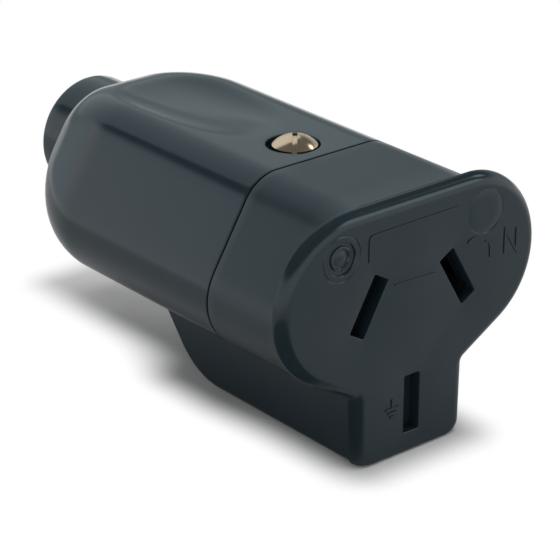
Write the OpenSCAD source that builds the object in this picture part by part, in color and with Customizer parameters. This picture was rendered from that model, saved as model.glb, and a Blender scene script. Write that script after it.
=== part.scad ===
// Rewireable in-line cord socket for three flat pins: a flanged front body with an earth box
// under it, a tapered rear cover with a cord neck, and the contacts, terminals and cord grip inside.
// Millimetres. Origin at the centre of the pin pattern on the socket face, +Y to the cord, +Z up.

/* [Pin pattern] */
// Distance between the line and neutral slot centres
pin_pitch = 13.72; // [11:0.01:17]
// Drop from the line and neutral slot centres to the earth slot centre
earth_drop = 14.27; // [12:0.01:18]
// Height of the line and neutral slot centres above the origin
pin_rise = 3.96; // [2:0.01:6]
// Lean of the line and neutral slots from upright, tops to the middle
slot_lean = 30; // [0:1:40]
// Length of each pin slot
slot_len = 7.4; // [6.6:0.1:9]
// Width of each pin slot
slot_w = 2.4; // [1.8:0.1:3]
// Thickness of the pins that the contacts grip
pin_t = 1.6; // [1.2:0.05:2]
// Reach of the line and neutral pins behind the socket face
live_pin_len = 17; // [14:0.5:20]
// Reach of the earth pin behind the socket face
earth_pin_len = 20; // [17:0.5:23]
// Free space left behind the tip of each pin
pin_room = 2; // [1.5:0.1:4]

/* [Front flange] */
// Width of the flange over both round ends
flange_w = 39.8; // [36:0.1:44]
// Radius of the flange's round ends
flange_r = 10.7; // [10:0.05:12]
// Height of the flange's centre line above the origin
flange_mid = 5.2; // [4:0.05:6]
// Thickness of the flange
flange_t = 1.8; // [1.4:0.1:2.6]
// Share of the flange's thickness that its rounded front edge takes
edge_share = 0.9; // [0.3:0.05:0.95]
// Thickness of the socket face inside the front body
face_t = 2.8; // [2.7:0.1:4]
// Step from the earth box out to the flange's apron in front of it
apron_lip = 0.65; // [0.3:0.05:1.2]
// Radius of the apron's lower corners
apron_corner = 1.5; // [0.5:0.1:3]
// Share of the front rounding that the apron's bottom edge gets
apron_sharp = 0.2; // [0.05:0.05:1]
// Fillet between the apron and the flange's round ends
apron_fillet = 2; // [0.5:0.1:3]
// Diameter of the right moulding mark on the face
mark_d = 5.6; // [4:0.1:7]
// Diameter of the left moulding mark's inner step
mark_inner_d = 4; // [2:0.1:5]
// Depth of each step in the moulding marks
mark_step = 0.3; // [0.1:0.05:0.6]
// Sideways place of both moulding marks
mark_x = 11.1; // [9:0.1:13]
// Height of both moulding marks
mark_z = 11.05; // [9:0.05:12]

/* [Body section] */
// Height of the flat top above the origin
top_z = 15.85; // [14:0.05:18]
// Half of the flat top's width
top_half = 7; // [6:0.1:9]
// Radius of the upper shoulders
shoulder_r = 5.5; // [4.5:0.1:7]
// Depth of the flat underside below the origin
belly_z = 5.15; // [3:0.05:6]
// Half of the flat underside's width
belly_half = 10.6; // [9:0.1:12]
// Radius of the lower sides
belly_r = 6.9; // [5:0.1:8]
// Place of the joint line between front body and rear cover
seam_y = 16.3; // [13:0.1:20]
// Length of the front body's lip inside the rear cover
lip_len = 3; // [1.5:0.1:5]
// Thickness of the lip
lip_t = 1.1; // [0.8:0.1:2]
// Overlap that ties the lip to the front body's wall
lip_root = 0.5; // [0.3:0.1:1]
// Gap between the lip and the boss round the cover screw
notch_gap = 0.4; // [0.2:0.1:0.8]

/* [Earth box] */
// Width of the earth box at its top
box_top_w = 15.9; // [14:0.1:18]
// Width of the earth box at its underside
box_base_w = 15.6; // [13:0.1:17]
// Depth of the earth box's underside below the origin
box_base_z = 16.7; // [15.5:0.1:20]
// Radius of the earth box's long lower edges
box_corner = 1; // [0.4:0.1:3]
// Steepness of the earth box's sloping rear end
box_slope = 52; // [35:1:65]
// Radius between the earth box's underside and its sloping end
box_round = 9; // [3:0.5:11]
// Wall of the earth box
box_wall = 1.7; // [1.2:0.1:2.5]
// Free space behind the earth terminal
box_room = 1; // [0.2:0.1:2]
// Gap round the earth terminal where it passes the inner tongue
block_gap = 0.25; // [0.15:0.05:0.5]
// Inset of the pads under the terminals from the blocks' sides
pad_inset = 0.4; // [0.2:0.1:0.8]

/* [Rear cover] */
// Wall of the rear cover
cover_wall = 2.4; // [1.6:0.1:3]
// Gap at the joint line
seam_gap = 0.15; // [0.05:0.05:0.4]
// Fit between the lip or inner tongue and the rear cover
cover_fit = 0.15; // [0.05:0.05:0.4]
// Straight length behind the cord grip before the taper starts
taper_lead = 4.1; // [2:0.1:8]
// Length of the taper to the rear end
taper_len = 11.5; // [6:0.1:16]
// Fullness of the taper's curve
taper_power = 1.7; // [1.2:0.1:3]
// Half of the flat width at the rear end
rear_half = 1.8; // [0.5:0.1:4]
// Radius of the round sides at the rear end
rear_r = 9.2; // [8.7:0.1:10]
// Height of the rear end's centre above the origin
rear_mid = 4.95; // [4.6:0.05:5.6]
// Rounding of the rear end's edge
rear_edge = 1.1; // [0.4:0.1:1.3]
// Angle on the shoulder where its curve breaks into the flat side
crease_at = 42; // [38:1:60]
// Distance of the thumb scoop's deepest place ahead of the taper
scoop_lead = 1.6; // [0:0.1:4]
// Half width of the thumb scoop
scoop_half = 6.6; // [3:0.1:7]
// Depth of the thumb scoop
scoop_deep = 0.9; // [0.3:0.1:1.2]
// Length of the thumb scoop ahead of its deepest place
scoop_front = 15; // [8:0.5:17]
// Length of the thumb scoop behind its deepest place
scoop_back = 8.5; // [5:0.5:9]

/* [Cord neck] */
// Outer diameter of the neck
neck_d = 15.6; // [13:0.1:17]
// Length of the neck behind the rear end
neck_len = 8; // [5:0.1:16]
// Height of the neck and cord above the origin
neck_mid = 5.15; // [4:0.05:6]
// Diameter of the cord entry bore
entry_d = 10; // [7:0.1:11]
// Rounding of the neck's outer rim
neck_edge = 0.8; // [0.3:0.1:1.5]

/* [Cover screw] */
// Distance of the cover screw behind the joint line
screw_back = 5.2; // [4.6:0.1:7]
// Diameter of the cover screw's thread
screw_d = 3; // [2.5:0.1:3.5]
// Diameter of the cover screw's head
head_d = 5.6; // [5:0.1:6.5]
// Height of the cover screw's head
head_h = 2.5; // [1.8:0.1:3]
// Sideways reach of the cover screw head's rounding
head_dome = 2; // [0.4:0.1:2.4]
// Height of a screw head's rounding as a share of its reach
dome_share = 0.6; // [0.3:0.05:1]
// Length of the cover screw under its head
screw_len = 8; // [7:0.5:9]
// Clearance round the cover screw in its plain holes
screw_fit = 0.2; // [0.1:0.05:0.4]
// Depth of the counterbore round the head
sink_deep = 1.4; // [1:0.1:2]
// Diameter of the counterbore round the head
sink_d = 6.6; // [6:0.1:8]
// Thickness of plastic under the head
sink_floor = 2; // [1.5:0.1:3]
// Wall of the boss round the counterbore
boss_wall = 1.1; // [0.8:0.1:2]
// Side of the square nut
nut_side = 5.5; // [5:0.1:6]
// Thickness of the square nut
nut_t = 1.8; // [1.4:0.1:2.2]
// Fit of the nut in its pocket
nut_fit = 0.05; // [0.02:0.01:0.1]
// Thickness of the lug above the nut
lug_roof = 1.1; // [0.8:0.1:1.5]
// Thickness of the lug under the nut
lug_floor = 1.2; // [0.8:0.1:2]
// Wall of the lug round the nut
lug_wall = 0.95; // [0.8:0.05:1.1]
// Width of the screwdriver slots
drive_w = 0.8; // [0.6:0.1:1.2]
// Depth of the screwdriver slots
drive_deep = 0.9; // [0.6:0.1:1.1]

/* [Contacts] */
// Width of the contact strips
strip_w = 6.4; // [5:0.1:6.6]
// Thickness of the contact strips
strip_t = 0.6; // [0.4:0.05:0.8]
// Amount by which the closed leaves are narrower than a pin
grip = 0.3; // [0.1:0.05:0.5]
// Half width of the contact's closed rear end
web_half = 1.9; // [1.8:0.1:2.4]
// Length of the contact leaves from the closed end to the throat
leaf_len = 11; // [8:0.1:12]
// Length of the straight part next to the closed end
knee_len = 3; // [2:0.1:5]
// Distance of the open mouth behind the socket face
mouth_gap = 1.2; // [0.6:0.1:2]
// Gap between a contact and its chamber
chamber_fit = 0.3; // [0.2:0.05:0.6]
// Wall of the contact chambers
chamber_wall = 1.2; // [0.8:0.1:1.6]
// Diameter of the contact rivets
rivet_d = 1.56; // [1.2:0.02:1.8]
// Diameter of the rivet heads
rivet_head_d = 2.2; // [1.9:0.1:2.5]
// Height of the rivet heads
rivet_head_h = 0.5; // [0.3:0.05:0.8]
// Fit of each rivet in its holes
rivet_fit = 0.02; // [0.01:0.01:0.05]

/* [Terminals] */
// Width of a terminal block
block_w = 6; // [5.4:0.1:6.4]
// Height of a terminal block
block_h = 7; // [6:0.1:7.4]
// Length of a terminal block
block_len = 8; // [7.4:0.1:10]
// Thickness of a block's wall towards its contact
block_front = 2; // [1.4:0.1:2.4]
// Floor under the wire tunnel
block_floor = 1; // [0.8:0.1:1.5]
// Threaded roof over the wire tunnel
block_roof = 2.2; // [1.6:0.1:2.5]
// Width of the wire tunnel
tunnel_w = 3.8; // [3:0.1:4.2]
// Thickness of a pressure plate
plate_t = 0.9; // [0.7:0.1:1.2]
// Length of a pressure plate
plate_len = 5; // [4:0.1:5]
// Gap round a pressure plate
plate_gap = 0.1; // [0.05:0.05:0.2]
// Travel of a pressure plate
plate_travel = 2; // [1:0.1:2]
// Diameter of the terminal screws
clamp_d = 3; // [2.5:0.1:3.2]
// Diameter of the terminal screws' heads
clamp_head_d = 5.5; // [4.5:0.1:5.8]
// Height of the terminal screws' heads
clamp_head_h = 1.8; // [1.4:0.1:2.2]
// Sideways reach of the terminal screw heads' rounding
clamp_dome = 0.4; // [0.2:0.1:1]
// Diameter of the peened tip that holds the pressure plate
tip_d = 1.6; // [1.2:0.1:2]
// Clearance of a turning screw in its hole
turn_fit = 0.06; // [0.02:0.01:0.1]
// Gap under a turning screw's head or shoulder
turn_gap = 0.05; // [0.02:0.01:0.1]
// Free height left under a screw's head at the end of its travel
head_room = 0.3; // [0.2:0.05:0.6]

/* [Cord grip] */
// Free length between the earth terminal and the cord grip
grip_lead = 4.9; // [3:0.1:10]
// Length of the grip saddle along the cord
saddle_len = 5; // [4:0.1:8]
// Half of the distance between the grip's screws
grip_half = 7; // [6.6:0.1:7.4]
// Diameter of the largest cord that the grip holds
cord_d = 8.4; // [6:0.1:9]
// Travel of the grip saddle
grip_travel = 3; // [1:0.1:3.2]
// Thickness of the saddle's two ends
saddle_t = 2; // [1.5:0.1:2.2]
// Thickness of the saddle's arch over the cord
arch_t = 1.7; // [1.2:0.1:1.8]
// Length of the saddle past each screw
saddle_end = 2.8; // [2.4:0.1:3.2]
// Height of the saddle's feet above the cord's centre when open
saddle_rise = 2.45; // [2:0.05:3]
// Diameter of the grip screws
grip_screw_d = 2.9; // [2.5:0.1:3.2]
// Diameter of the grip screws' heads
grip_head_d = 5; // [4.5:0.1:5.2]
// Height of the grip screws' heads
grip_head_h = 1.8; // [1.4:0.1:2]
// Sideways reach of the grip screw heads' rounding
grip_dome = 0.8; // [0.2:0.1:1.4]
// Length of the grip screws under their heads
grip_screw_len = 8; // [7:0.5:8]
// Diameter of the posts that the grip screws go into
post_d = 5.8; // [5:0.1:6]
// Thickness of the inner tongue
tongue_t = 2; // [1.5:0.1:2]
// Length of the inner tongue behind the cord grip
tongue_end = 2; // [1:0.1:3]

/* [Hidden] */
$fn = 48;
arc_n = 8;
taper_n = 12;
edge_n = 4;
// Hair's breadth between faces that would fall together
eps = 0.02;
// Overlap that ties one solid to the next
join = 0.5;
// Overshoot of a cut past the face it opens
past = 1;
// Least radius of a rounding that has been inset
least_round = 0.2;
// Angle that keeps a tangent point just short of its arc's end
touch_slack = 0.01;

live_x = pin_pitch / 2;
earth_z = pin_rise - earth_drop;
flange_half = flange_w / 2 - flange_r;
flange_edge = flange_t * edge_share;
apron_top = box_top_w / 2 + apron_lip;
apron_base = box_base_w / 2 + apron_lip;
shoulder_z = top_z - shoulder_r;
belly_mid = belly_r - belly_z;

lip_inset = cover_wall + cover_fit;
front_wall = lip_inset + lip_root;
live_stop = live_pin_len + pin_room;
earth_stop = earth_pin_len + pin_room;
live_block_y = live_stop + strip_t;
earth_block_y = earth_stop + strip_t;
earth_block_end = earth_block_y + block_len;
screw_at = (block_front + block_len) / 2;

box_base = -box_base_z;
box_top = -belly_z;
slope_run = 1 / tan(box_slope);
slope_wall = box_wall / sin(box_slope);
earth_block_z = earth_z - block_h / 2;
box_len = earth_block_end + box_room + slope_wall - (earth_block_z - box_base) * slope_run;
box_end = box_len + (box_top - box_base) * slope_run;

grip_y = earth_block_end + grip_lead + saddle_len / 2;
taper_y = grip_y + saddle_len / 2 + taper_lead;
cover_end = taper_y + taper_len;
neck_end = cover_end + neck_len;

tongue_base = -belly_z + lip_inset;
tongue_top = tongue_base + tongue_t;
tongue_far = max(grip_y + saddle_len / 2, box_end) + tongue_end;
anvil_top = neck_mid - cord_d / 4;
saddle_z = neck_mid + saddle_rise;
post_top = saddle_z - grip_travel - head_room;
post_hole = saddle_z + saddle_t + turn_gap - grip_screw_len - grip_travel - head_room;

cover_screw_y = seam_y + screw_back;
sink_z = top_z - sink_deep;
boss_z = sink_z - sink_floor;
lug_top = boss_z - cover_fit;
lug_half = nut_side / 2 + lug_wall;
nut_z = lug_top - lug_roof - nut_t;
lug_base = nut_z - lug_floor;
lug_end = cover_screw_y + nut_side / 2 + lug_wall;

jaw = (pin_t - grip) / 2;
chamber_w = web_half + chamber_fit;
plate_top = block_h / 2 - block_roof - plate_gap;
pad_half = block_w / 2 - pad_inset;

function arc(x, z, r, a, b, n = arc_n) =
    [for (i = [0:n]) [x + r * cos(a + (b - a) * i / n), z + r * sin(a + (b - a) * i / n)]];

function mirrored(half) =
    concat(half, [for (i = [len(half) - 1:-1:0]) [-half[i][0], half[i][1]]]);

// Angle on a circle of radius r where a line from a point touches it; the point is seen from its centre
function touch(px, pz, r) = atan2(pz, px) - acos(min(r / norm([px, pz]), 1));

// Section of two shoulder arcs and two belly arcs; the shoulder arc stops at angle brk
function section(xu, zu, ru, xl, zl, rl, brk) =
    let (px = xu + ru * cos(brk) - xl, pz = zu + ru * sin(brk) - zl)
    mirrored(concat(arc(xu, zu, ru, 90, brk), arc(xl, zl, rl, touch(px, pz, rl), -90)));

// Angle at which the shoulder arc runs smoothly into the side
function smooth_at(xu, zu, ru, xl, zl, rl) =
    atan2(zl - zu, xl - xu) + acos((ru - rl) / norm([xl - xu, zl - zu]));

function front_section(d) =
    section(top_half, shoulder_z, shoulder_r - d, belly_half, belly_mid, belly_r - d,
        smooth_at(top_half, shoulder_z, shoulder_r, belly_half, belly_mid, belly_r) + touch_slack);

function blend(a, b, k) = a + (b - a) * k;

// Rear cover section, k from 0 at the joint line to 1 at the round-sided rear end, inset by d
function cover_section(k, d) =
    section(blend(top_half, rear_half, k), blend(shoulder_z, rear_mid, k),
        blend(shoulder_r, rear_r, k) - d, blend(belly_half, rear_half, k),
        blend(belly_mid, rear_mid, k), blend(belly_r, rear_r, k) - d, crease_at);

// Share of the taper reached at t, 0 to 1, on a full quarter curve
function fullness(t) = 1 - pow(1 - pow(t, taper_power), 1 / taper_power);

// Stadium flange with the apron under it in one outline, inset by d
function face_outline(d) =
    let (w = apron_top - d, f = apron_fillet + d, dx = w + f - flange_half, c = apron_corner,
        fz = flange_mid - sqrt(pow(flange_r - d + f, 2) - dx * dx),
        turn = atan2(fz - flange_mid, dx))
    mirrored(concat(arc(flange_half, flange_mid, flange_r - d, 90, turn, 3 * arc_n),
        arc(w + f, fz, f, 180 + turn, 180),
        arc(apron_base - d - c, box_base + d * apron_sharp + c, c, 0, -90)));

// Solid through equal rings of points along +Y; rings is a list of [y, outline], each outline mirrored,
// and both ends are closed by level strips between a point and its mirror image
module loft(rings) {
    n = len(rings[0][1]);
    m = len(rings);
    points = [for (r = rings) for (p = r[1]) [p[0], r[0], p[1]]];
    sides = [for (j = [0:m - 2]) for (i = [0:n - 1])
        each [[j * n + i, (j + 1) * n + i, j * n + (i + 1) % n],
            [(j + 1) * n + i, (j + 1) * n + (i + 1) % n, j * n + (i + 1) % n]]];
    last = (m - 1) * n;
    near = [for (i = [0:n / 2 - 2]) [i, i + 1, n - 2 - i, n - 1 - i]];
    far = [for (i = [0:n / 2 - 2]) [last + n - 1 - i, last + n - 2 - i, last + i + 1, last + i]];
    polyhedron(points, concat(near, sides, far), convexity = 6);
}

// Outline drawn in X and Z, pushed along +Y from y0 to y1
module prism(outline, y0, y1) {
    translate([0, y1, 0])
        rotate([90, 0, 0])
            linear_extrude(y1 - y0)
                polygon(outline);
}

// Profile drawn in Y and Z, centred across X
module across(outline, width) {
    translate([-width / 2, 0, 0])
        rotate([90, 0, 90])
            linear_extrude(width)
                polygon(outline);
}

module block(x0, x1, y0, y1, z0, z1) {
    translate([x0, y0, z0])
        cube([x1 - x0, y1 - y0, z1 - z0]);
}

// Round bar along +Y
module bar_y(x, z, r, y0, y1) {
    translate([x, y0, z])
        rotate([-90, 0, 0])
            cylinder(r = r, h = y1 - y0);
}

// Places a child drawn round the origin at a line (-1) or neutral (+1) slot, leaning with it
module at_live(side) {
    translate([side * live_x, 0, pin_rise])
        rotate([0, -side * slot_lean, 0])
            children();
}

// Profile of the earth box in Y and Z from y0 backwards, inset by d
function box_profile(d, y0) =
    let (back = box_len - d / sin(box_slope) + d * slope_run, r = max(box_round - d, least_round),
        cut = r * tan(box_slope / 2), low = box_base + d, end = back + (box_top - low) * slope_run)
    concat([[y0, tongue_base + eps], [y0, low]],
        [for (i = [0:arc_n]) let (a = -90 + box_slope * i / arc_n)
            [back - cut + r * cos(a), low + r + r * sin(a)]],
        [[end, box_top], [end, tongue_base + eps]]);

function box_outline() =
    let (c = box_corner)
    mirrored(concat([[box_top_w / 2, tongue_base + eps], [box_top_w / 2, flange_mid - flange_r]],
        arc(box_base_w / 2 - c, box_base + c, c, 0, -90)));

function edge_rings() =
    [for (i = [0:edge_n]) let (a = 90 * i / edge_n)
        [flange_edge * (1 - cos(a)), face_outline(flange_edge * (1 - sin(a)))]];

module front_shell() {
    notch_half = sink_d / 2 + boss_wall + notch_gap;
    loft(concat(edge_rings(), [[flange_t, face_outline(0)]]));
    difference() {
        prism(front_section(0), flange_t - eps, seam_y);
        prism(front_section(front_wall), face_t, seam_y + past);
    }
    difference() {
        prism(front_section(lip_inset), seam_y - lip_len, seam_y + lip_len);
        prism(front_section(lip_inset + lip_t), seam_y - lip_len - past, seam_y + lip_len + past);
        block(-notch_half, notch_half, seam_y - eps, seam_y + lip_len + past, lug_top, top_z);
    }
}

module earth_box() {
    intersection() {
        prism(box_outline(), flange_t - eps, box_end + past);
        across(box_profile(0, flange_t - eps), box_top_w + 2 * past);
    }
}

module earth_room() {
    intersection() {
        block(-box_base_w / 2 + box_wall, box_base_w / 2 - box_wall, face_t, box_end,
            box_base + box_wall, tongue_base);
        across(box_profile(box_wall, face_t), box_top_w + 2 * past);
    }
}

module chamber_block(length) {
    block(-chamber_w - chamber_wall, chamber_w + chamber_wall, face_t - join, length,
        -slot_len / 2 - chamber_wall, slot_len / 2 + chamber_wall);
}

module chamber_space(length) {
    block(-chamber_w, chamber_w, face_t, length + past, -slot_len / 2, slot_len / 2);
    block(-slot_w / 2, slot_w / 2, -past, face_t + past, -slot_len / 2, slot_len / 2);
}

module tongue() {
    block(-belly_half, belly_half, seam_y - lip_len, tongue_far, tongue_base, tongue_top);
    for (side = [-1, 1]) {
        block(side * live_x - pad_half, side * live_x + pad_half, live_block_y,
            live_block_y + block_len, tongue_top - join, pin_rise - block_h / 2);
        translate([side * grip_half, grip_y, tongue_base])
            cylinder(d = post_d, h = post_top - tongue_base);
    }
    difference() {
        block(-grip_half, grip_half, grip_y - saddle_len / 2, grip_y + saddle_len / 2,
            tongue_top - join, anvil_top);
        bar_y(0, neck_mid, cord_d / 2, grip_y - saddle_len, grip_y + saddle_len);
    }
}

module front_body() {
    window_half = block_w / 2 + block_gap;
    pocket_half = nut_side / 2 + nut_fit;
    color([0.12, 0.13, 0.14])
        difference() {
            union() {
                front_shell();
                difference() {
                    union() {
                        earth_box();
                        tongue();
                    }
                    earth_room();
                    block(-window_half, window_half, earth_stop - past, earth_block_end + past,
                        -belly_z - past, tongue_top + past);
                }
                for (side = [-1, 1])
                    at_live(side) chamber_block(live_block_y);
                for (side = [-1, 1])
                    block(side * (chamber_w + chamber_wall / 2) - chamber_wall / 2,
                        side * (chamber_w + chamber_wall / 2) + chamber_wall / 2, face_t - join,
                        earth_block_y, box_base + box_wall - join, -belly_z + join);
                block(-pad_half, pad_half, earth_block_y + pad_inset, earth_block_end - block_front,
                    box_base + box_wall - join, earth_block_z);
                block(-lug_half, lug_half, face_t - join, lug_end, lug_base, lug_top);
            }
            for (side = [-1, 1])
                at_live(side) chamber_space(live_block_y);
            translate([0, 0, earth_z])
                block(-slot_w / 2, slot_w / 2, -past, face_t + past, -slot_len / 2, slot_len / 2);
            block(-pocket_half, pocket_half, cover_screw_y - pocket_half, lug_end + past, nut_z - nut_fit,
                nut_z + nut_t + nut_fit);
            translate([0, cover_screw_y, lug_base - past])
                cylinder(r = screw_d / 2 + screw_fit, h = lug_top - lug_base + 2 * past);
            for (side = [-1, 1])
                translate([side * grip_half, grip_y, post_hole])
                    cylinder(r = grip_screw_d / 2 + turn_fit, h = post_top - post_hole + past);
            bar_y(mark_x, mark_z, mark_d / 2, -past, mark_step);
            bar_y(-mark_x, mark_z, mark_d / 2, -past, mark_step);
            bar_y(-mark_x, mark_z, mark_inner_d / 2, -past, 2 * mark_step);
        }
}

function cover_rings(d, y0, end, edge) =
    concat([[y0, cover_section(0, d)]],
        [for (i = [0:taper_n]) let (t = sin(90 * i / taper_n), y = blend(taper_y, end, t),
            into = max(y - end + edge, 0), more = edge - sqrt(edge * edge - into * into))
            [y, cover_section(fullness(t), d + more)]]);

// Radius of the thumb scoop's turned form about its axis above the cover, at distance s
function scoop_arc(s) =
    scoop_axis() + scoop_deep * (cos(180 * s / (s < 0 ? scoop_front : scoop_back)) + 1) / 2;

function scoop_axis() = (scoop_half * scoop_half - scoop_deep * scoop_deep) / (2 * scoop_deep);

module scoop() {
    n = 2 * arc_n;
    side = [for (i = [0:n]) let (s = blend(-scoop_front, scoop_back, i / n)) [scoop_arc(s), s]];
    translate([0, taper_y - scoop_lead, top_z + scoop_axis()])
        rotate([-90, 0, 0])
            rotate_extrude($fn = 96)
                polygon(concat([[0, -scoop_front]], side, [[0, scoop_back]]));
}

module neck() {
    r = neck_d / 2;
    translate([0, cover_end - cover_wall, neck_mid])
        rotate([-90, 0, 0])
            rotate_extrude()
                polygon(concat([[0, 0], [r, 0]],
                    [for (i = [0:edge_n]) let (a = 90 * i / edge_n)
                        [r - neck_edge * (1 - cos(a)), neck_len + cover_wall - neck_edge * (1 - sin(a))]],
                    [[0, neck_len + cover_wall]]));
}

module rear_cover() {
    near = seam_y + seam_gap;
    color([0.13, 0.14, 0.15])
        difference() {
            union() {
                difference() {
                    loft(cover_rings(0, near, cover_end, rear_edge));
                    loft(cover_rings(cover_wall, near - past, cover_end - cover_wall, rear_edge));
                }
                neck();
                intersection() {
                    translate([0, cover_screw_y, boss_z])
                        cylinder(d = sink_d + 2 * boss_wall, h = sink_floor + join);
                    block(-sink_d, sink_d, near, cover_screw_y + sink_d, boss_z - past, top_z);
                }
            }
            scoop();
            bar_y(0, neck_mid, entry_d / 2, cover_end - 2 * cover_wall, neck_end + past);
            translate([0, cover_screw_y, sink_z])
                cylinder(d = sink_d, h = sink_deep + past);
            translate([0, cover_screw_y, boss_z - past])
                cylinder(r = screw_d / 2 + screw_fit, h = sink_floor + 2 * past);
            block(-box_top_w / 2 - cover_fit, box_top_w / 2 + cover_fit, near - past, box_end + cover_fit,
                -belly_z - past, -belly_z + cover_wall + past);
        }
}

// Slotted screw along Z with the underside of its head at the origin
module screw(d, length, cap_d, cap_h, dome) {
    difference() {
        union() {
            translate([0, 0, -length])
                cylinder(d = d, h = length + eps);
            rotate_extrude()
                polygon(concat([[0, 0], [cap_d / 2, 0]],
                    [for (i = [0:edge_n]) let (a = 90 * i / edge_n)
                        [cap_d / 2 - dome * (1 - cos(a)), cap_h - dome * dome_share * (1 - sin(a))]],
                    [[0, cap_h]]));
        }
        block(-drive_w / 2, drive_w / 2, -cap_d, cap_d, cap_h - drive_deep, cap_h + past);
    }
}

module cover_screw() {
    color([0.8, 0.7, 0.6])
        translate([0, cover_screw_y, sink_z + turn_gap])
            screw(screw_d, screw_len, head_d, head_h, head_dome);
}

module cover_nut() {
    color([0.7, 0.7, 0.72])
        difference() {
            block(-nut_side / 2, nut_side / 2, cover_screw_y - nut_side / 2, cover_screw_y + nut_side / 2,
                nut_z, nut_z + nut_t);
            translate([0, cover_screw_y, nut_z - past])
                cylinder(r = screw_d / 2 + turn_fit, h = nut_t + 2 * past);
        }
}

// Folded strip with two leaves that close on the pin; drawn in X and Y, its closed end at stop
module contact(stop) {
    throat = stop - leaf_len;
    mouth = face_t + mouth_gap;
    knee = stop - knee_len;
    right = [[web_half, stop + strip_t], [web_half, knee], [jaw + strip_t, throat],
        [jaw + 2 * strip_t, mouth], [jaw + strip_t, mouth], [jaw, throat], [web_half - strip_t, knee],
        [web_half - strip_t, stop]];
    left = [for (i = [len(right) - 1:-1:0]) [-right[i][0], right[i][1]]];
    difference() {
        translate([0, 0, -strip_w / 2])
            linear_extrude(strip_w)
                polygon(concat(right, left));
        bar_y(0, 0, rivet_d / 2 + rivet_fit, stop - past, stop + strip_t + past);
    }
}

module line_contact() {
    color([0.75, 0.5, 0.3])
        at_live(-1) contact(live_stop);
}

module neutral_contact() {
    color([0.75, 0.5, 0.3])
        at_live(1) contact(live_stop);
}

module earth_contact() {
    color([0.75, 0.5, 0.3])
        translate([0, 0, earth_z]) contact(earth_stop);
}

// Rivet from inside the contact's closed end into the terminal block's front wall
module rivet(stop) {
    bar_y(0, 0, rivet_head_d / 2, stop - rivet_head_h, stop);
    bar_y(0, 0, rivet_d / 2, stop - eps, stop + strip_t + block_front);
}

module line_rivet() {
    color([0.8, 0.65, 0.3])
        translate([-live_x, 0, pin_rise]) rivet(live_stop);
}

module neutral_rivet() {
    color([0.8, 0.65, 0.3])
        translate([live_x, 0, pin_rise]) rivet(live_stop);
}

module earth_rivet() {
    color([0.8, 0.65, 0.3])
        translate([0, 0, earth_z]) rivet(earth_stop);
}

// Block with a wire tunnel open to the rear and a threaded roof; its front face at y
module terminal(y) {
    difference() {
        block(-block_w / 2, block_w / 2, y, y + block_len, -block_h / 2, block_h / 2);
        block(-tunnel_w / 2, tunnel_w / 2, y + block_front, y + block_len + past,
            -block_h / 2 + block_floor, block_h / 2 - block_roof);
        bar_y(0, 0, rivet_d / 2 + rivet_fit, y - past, y + block_front + past);
        translate([0, y + screw_at, 0])
            cylinder(r = clamp_d / 2 + turn_fit, h = block_h);
    }
}

module line_terminal() {
    color([0.82, 0.68, 0.32])
        translate([-live_x, 0, pin_rise]) terminal(live_block_y);
}

module neutral_terminal() {
    color([0.82, 0.68, 0.32])
        translate([live_x, 0, pin_rise]) terminal(live_block_y);
}

module earth_terminal() {
    color([0.82, 0.68, 0.32])
        translate([0, 0, earth_z]) terminal(earth_block_y);
}

module plate(y) {
    difference() {
        block(-tunnel_w / 2 + plate_gap, tunnel_w / 2 - plate_gap, y + screw_at - plate_len / 2,
            y + screw_at + plate_len / 2, plate_top - plate_t, plate_top);
        translate([0, y + screw_at, plate_top - plate_t - past])
            cylinder(r = tip_d / 2 + turn_fit, h = plate_t + 2 * past);
    }
}

module line_plate() {
    color([0.7, 0.72, 0.74])
        translate([-live_x, 0, pin_rise]) plate(live_block_y);
}

module neutral_plate() {
    color([0.7, 0.72, 0.74])
        translate([live_x, 0, pin_rise]) plate(live_block_y);
}

module earth_plate() {
    color([0.7, 0.72, 0.74])
        translate([0, 0, earth_z]) plate(earth_block_y);
}

module terminal_screw(y) {
    under = block_h / 2 + plate_travel + head_room;
    translate([0, y + screw_at, under])
        screw(clamp_d, under - plate_top - turn_gap, clamp_head_d, clamp_head_h, clamp_dome);
    translate([0, y + screw_at, plate_top - plate_t + plate_gap])
        cylinder(d = tip_d, h = plate_t + turn_gap);
}

module line_screw() {
    color([0.72, 0.73, 0.75])
        translate([-live_x, 0, pin_rise]) terminal_screw(live_block_y);
}

module neutral_screw() {
    color([0.72, 0.73, 0.75])
        translate([live_x, 0, pin_rise]) terminal_screw(live_block_y);
}

module earth_screw() {
    color([0.72, 0.73, 0.75])
        translate([0, 0, earth_z]) terminal_screw(earth_block_y);
}

module grip_saddle() {
    reach = grip_half + saddle_end;
    y0 = grip_y - saddle_len / 2;
    y1 = grip_y + saddle_len / 2;
    arch_mid = neck_mid + head_room;
    color([0.2, 0.2, 0.22])
        difference() {
            union() {
                block(-reach, reach, y0, y1, saddle_z, saddle_z + saddle_t);
                intersection() {
                    bar_y(0, arch_mid, cord_d / 2 + arch_t, y0, y1);
                    block(-reach, reach, y0, y1, saddle_z, saddle_z + cord_d);
                }
            }
            bar_y(0, arch_mid, cord_d / 2, y0 - past, y1 + past);
            for (side = [-1, 1])
                translate([side * grip_half, grip_y, saddle_z - past])
                    cylinder(r = grip_screw_d / 2 + turn_fit, h = saddle_t + 2 * past);
        }
}

module grip_screw(side) {
    translate([side * grip_half, grip_y, saddle_z + saddle_t + turn_gap])
        screw(grip_screw_d, grip_screw_len, grip_head_d, grip_head_h, grip_dome);
}

module left_grip_screw() {
    color([0.72, 0.73, 0.75])
        grip_screw(-1);
}

module right_grip_screw() {
    color([0.72, 0.73, 0.75])
        grip_screw(1);
}

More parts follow.
